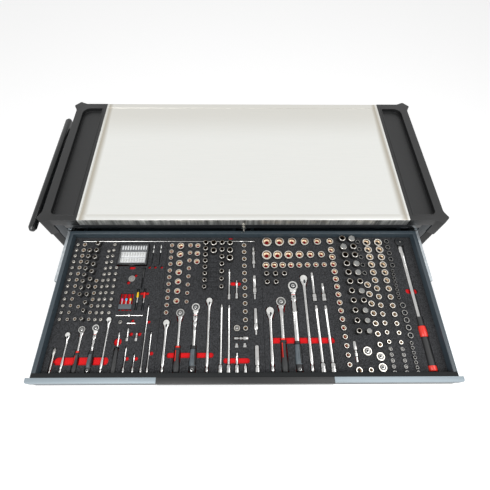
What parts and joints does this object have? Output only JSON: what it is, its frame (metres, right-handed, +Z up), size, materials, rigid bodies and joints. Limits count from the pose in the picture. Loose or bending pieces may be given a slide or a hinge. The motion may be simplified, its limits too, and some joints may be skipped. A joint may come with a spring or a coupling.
{
  "type": "rolling tool cabinet",
  "caption": "Wide rolling tool cabinet with a stainless worktop, moulded end trays, side push handle, lock and full-width drawers; the shallow top one is open on foam-laid sockets.",
  "frame": {"origin": "middle of the footprint of the whole cabinet as stored, on the floor", "axes": "+X to the viewer's right, +Y to the back of the cabinet, +Z up; the top drawer comes out towards -Y"},
  "size_m": [1.666, 1.245, 1.052],
  "materials": {
    "stainless_steel": "fine brushed along the length",
    "blue_grey_paint": "smooth satin powder coat",
    "black_paint": "semi gloss powder coat",
    "silver_aluminium": "satin anodised",
    "black_plastic": "fine moulded grain",
    "black_lacquered_aluminium": "satin black lacquer",
    "zinc_steel": "bright zinc",
    "chrome_steel": "polished chrome",
    "black_foam": "closed cell foam",
    "red_foam": "closed cell foam",
    "board": "raw chipboard",
    "grey_rubber": "matt rubber",
    "nickel": "nickel plated"
  },
  "bodies": {
    "cabinet": {"worktop_sheet": "stainless_steel", "worktop_board": "board", "end_cap_left": "black_plastic", "end_cap_right": "black_plastic", "side_frame_left": "blue_grey_paint", "side_frame_right": "blue_grey_paint", "side_panel_left": "blue_grey_paint", "side_panel_right": "blue_grey_paint", "back_panel": "blue_grey_paint", "top_frame": "black_paint", "cross_rail": "blue_grey_paint", "centre_divider": "blue_grey_paint", "base_pan": "blue_grey_paint", "corner_posts": "black_plastic", "handle_tube": "black_lacquered_aluminium", "handle_brackets": "black_plastic", "handle_bolts": "zinc_steel", "cabinet_slides": "zinc_steel", "lock_barrel": "nickel", "lock_guides": "zinc_steel", "fixed_caster_forks": "zinc_steel", "swivel_caster_plates": "zinc_steel"},
    "lock_turning_parts": {"lock_cylinder": "nickel", "key": "nickel"},
    "lock_bar": {"lock_bar": "zinc_steel"},
    "top_drawer": {"top_drawer_box": "blue_grey_paint", "top_drawer_pull": "silver_aluminium", "top_drawer_grip": "black_plastic", "top_drawer_slides": "zinc_steel", "foam_top": "black_foam", "foam_base": "red_foam", "ratchets": "chrome_steel", "extension_bars": "chrome_steel", "torque_wrench": "chrome_steel", "bit_case": "black_plastic"},
    "top_drawer_middle_slides": {"top_drawer_middle_slides": "zinc_steel"},
    "left_upper_drawer": {"left_upper_drawer_box": "blue_grey_paint", "left_upper_drawer_pull": "silver_aluminium"},
    "left_upper_drawer_middle_slides": {"left_upper_drawer_middle_slides": "zinc_steel"},
    "left_middle_drawer": {"left_middle_drawer_box": "blue_grey_paint", "left_middle_drawer_pull": "silver_aluminium"},
    "left_middle_drawer_middle_slides": {"left_middle_drawer_middle_slides": "zinc_steel"},
    "left_lower_drawer": {"left_lower_drawer_box": "blue_grey_paint", "left_lower_drawer_pull": "silver_aluminium"},
    "left_lower_drawer_middle_slides": {"left_lower_drawer_middle_slides": "zinc_steel"},
    "right_upper_drawer": {"right_upper_drawer_box": "blue_grey_paint", "right_upper_drawer_pull": "silver_aluminium"},
    "right_upper_drawer_middle_slides": {"right_upper_drawer_middle_slides": "zinc_steel"},
    "right_middle_drawer": {"right_middle_drawer_box": "blue_grey_paint", "right_middle_drawer_pull": "silver_aluminium"},
    "right_middle_drawer_middle_slides": {"right_middle_drawer_middle_slides": "zinc_steel"},
    "right_lower_drawer": {"right_lower_drawer_box": "blue_grey_paint", "right_lower_drawer_pull": "silver_aluminium"},
    "right_lower_drawer_middle_slides": {"right_lower_drawer_middle_slides": "zinc_steel"},
    "swivel_fork_front": {"swivel_fork_front": "zinc_steel"},
    "fixed_wheel_front": {"fixed_wheel_front": "grey_rubber"},
    "swivel_wheel_front": {"swivel_wheel_front": "grey_rubber"},
    "swivel_fork_back": {"swivel_fork_back": "zinc_steel"},
    "fixed_wheel_back": {"fixed_wheel_back": "grey_rubber"},
    "swivel_wheel_back": {"swivel_wheel_back": "grey_rubber"}
  },
  "joints": [
    {"name": "top_drawer_slide", "type": "slide", "parent": "cabinet", "child": "top_drawer", "axis": [0, -1, 0], "range_m": [-0.554, 0]},
    {"name": "top_drawer_middle_slide", "type": "slide", "parent": "cabinet", "child": "top_drawer_middle_slides", "axis": [0, -1, 0], "range_m": [-0.277, 0]},
    {"name": "lock_turn", "type": "hinge", "parent": "cabinet", "child": "lock_turning_parts", "pos_m": [0.04, -0.0475, 1.0025], "axis": [0, -1, 0], "range_deg": [0, 90]},
    {"name": "lock_bar_shift", "type": "slide", "parent": "cabinet", "child": "lock_bar", "axis": [1, 0, 0], "range_m": [0, 0.0099]},
    {"name": "left_upper_drawer_slide", "type": "slide", "parent": "cabinet", "child": "left_upper_drawer", "axis": [0, -1, 0], "range_m": [0, 0.554]},
    {"name": "left_upper_drawer_middle_slide", "type": "slide", "parent": "cabinet", "child": "left_upper_drawer_middle_slides", "axis": [0, -1, 0], "range_m": [0, 0.277]},
    {"name": "left_middle_drawer_slide", "type": "slide", "parent": "cabinet", "child": "left_middle_drawer", "axis": [0, -1, 0], "range_m": [0, 0.554]},
    {"name": "left_middle_drawer_middle_slide", "type": "slide", "parent": "cabinet", "child": "left_middle_drawer_middle_slides", "axis": [0, -1, 0], "range_m": [0, 0.277]},
    {"name": "left_lower_drawer_slide", "type": "slide", "parent": "cabinet", "child": "left_lower_drawer", "axis": [0, -1, 0], "range_m": [0, 0.554]},
    {"name": "left_lower_drawer_middle_slide", "type": "slide", "parent": "cabinet", "child": "left_lower_drawer_middle_slides", "axis": [0, -1, 0], "range_m": [0, 0.277]},
    {"name": "right_upper_drawer_slide", "type": "slide", "parent": "cabinet", "child": "right_upper_drawer", "axis": [0, -1, 0], "range_m": [0, 0.554]},
    {"name": "right_upper_drawer_middle_slide", "type": "slide", "parent": "cabinet", "child": "right_upper_drawer_middle_slides", "axis": [0, -1, 0], "range_m": [0, 0.277]},
    {"name": "right_middle_drawer_slide", "type": "slide", "parent": "cabinet", "child": "right_middle_drawer", "axis": [0, -1, 0], "range_m": [0, 0.554]},
    {"name": "right_middle_drawer_middle_slide", "type": "slide", "parent": "cabinet", "child": "right_middle_drawer_middle_slides", "axis": [0, -1, 0], "range_m": [0, 0.277]},
    {"name": "right_lower_drawer_slide", "type": "slide", "parent": "cabinet", "child": "right_lower_drawer", "axis": [0, -1, 0], "range_m": [0, 0.554]},
    {"name": "right_lower_drawer_middle_slide", "type": "slide", "parent": "cabinet", "child": "right_lower_drawer_middle_slides", "axis": [0, -1, 0], "range_m": [0, 0.277]},
    {"name": "swivel_front", "type": "hinge", "parent": "cabinet", "child": "swivel_fork_front", "pos_m": [-0.57, 0.0625, 0.15], "axis": [0, 0, 1], "continuous": true},
    {"name": "fixed_wheel_front_spin", "type": "hinge", "parent": "cabinet", "child": "fixed_wheel_front", "pos_m": [0.65, 0.0625, 0.0625], "axis": [0, 1, 0], "continuous": true},
    {"name": "swivel_wheel_front_spin", "type": "hinge", "parent": "swivel_fork_front", "child": "swivel_wheel_front", "pos_m": [-0.608, 0.0625, 0.0625], "axis": [0, 1, 0], "continuous": true},
    {"name": "swivel_back", "type": "hinge", "parent": "cabinet", "child": "swivel_fork_back", "pos_m": [-0.57, 0.4985, 0.15], "axis": [0, 0, 1], "continuous": true},
    {"name": "fixed_wheel_back_spin", "type": "hinge", "parent": "cabinet", "child": "fixed_wheel_back", "pos_m": [0.65, 0.4985, 0.0625], "axis": [0, 1, 0], "continuous": true},
    {"name": "swivel_wheel_back_spin", "type": "hinge", "parent": "swivel_fork_back", "child": "swivel_wheel_back", "pos_m": [-0.608, 0.4985, 0.0625], "axis": [0, 1, 0], "continuous": true}
  ],
  "couplings": [
    {"joint": "top_drawer_middle_slide", "follows": "top_drawer_slide", "ratio": 0.5},
    {"joint": "lock_turn", "follows": "lock_bar_shift", "rad_per_m": 158.73},
    {"joint": "left_upper_drawer_middle_slide", "follows": "left_upper_drawer_slide", "ratio": 0.5},
    {"joint": "left_middle_drawer_middle_slide", "follows": "left_middle_drawer_slide", "ratio": 0.5},
    {"joint": "left_lower_drawer_middle_slide", "follows": "left_lower_drawer_slide", "ratio": 0.5},
    {"joint": "right_upper_drawer_middle_slide", "follows": "right_upper_drawer_slide", "ratio": 0.5},
    {"joint": "right_middle_drawer_middle_slide", "follows": "right_middle_drawer_slide", "ratio": 0.5},
    {"joint": "right_lower_drawer_middle_slide", "follows": "right_lower_drawer_slide", "ratio": 0.5}
  ]
}
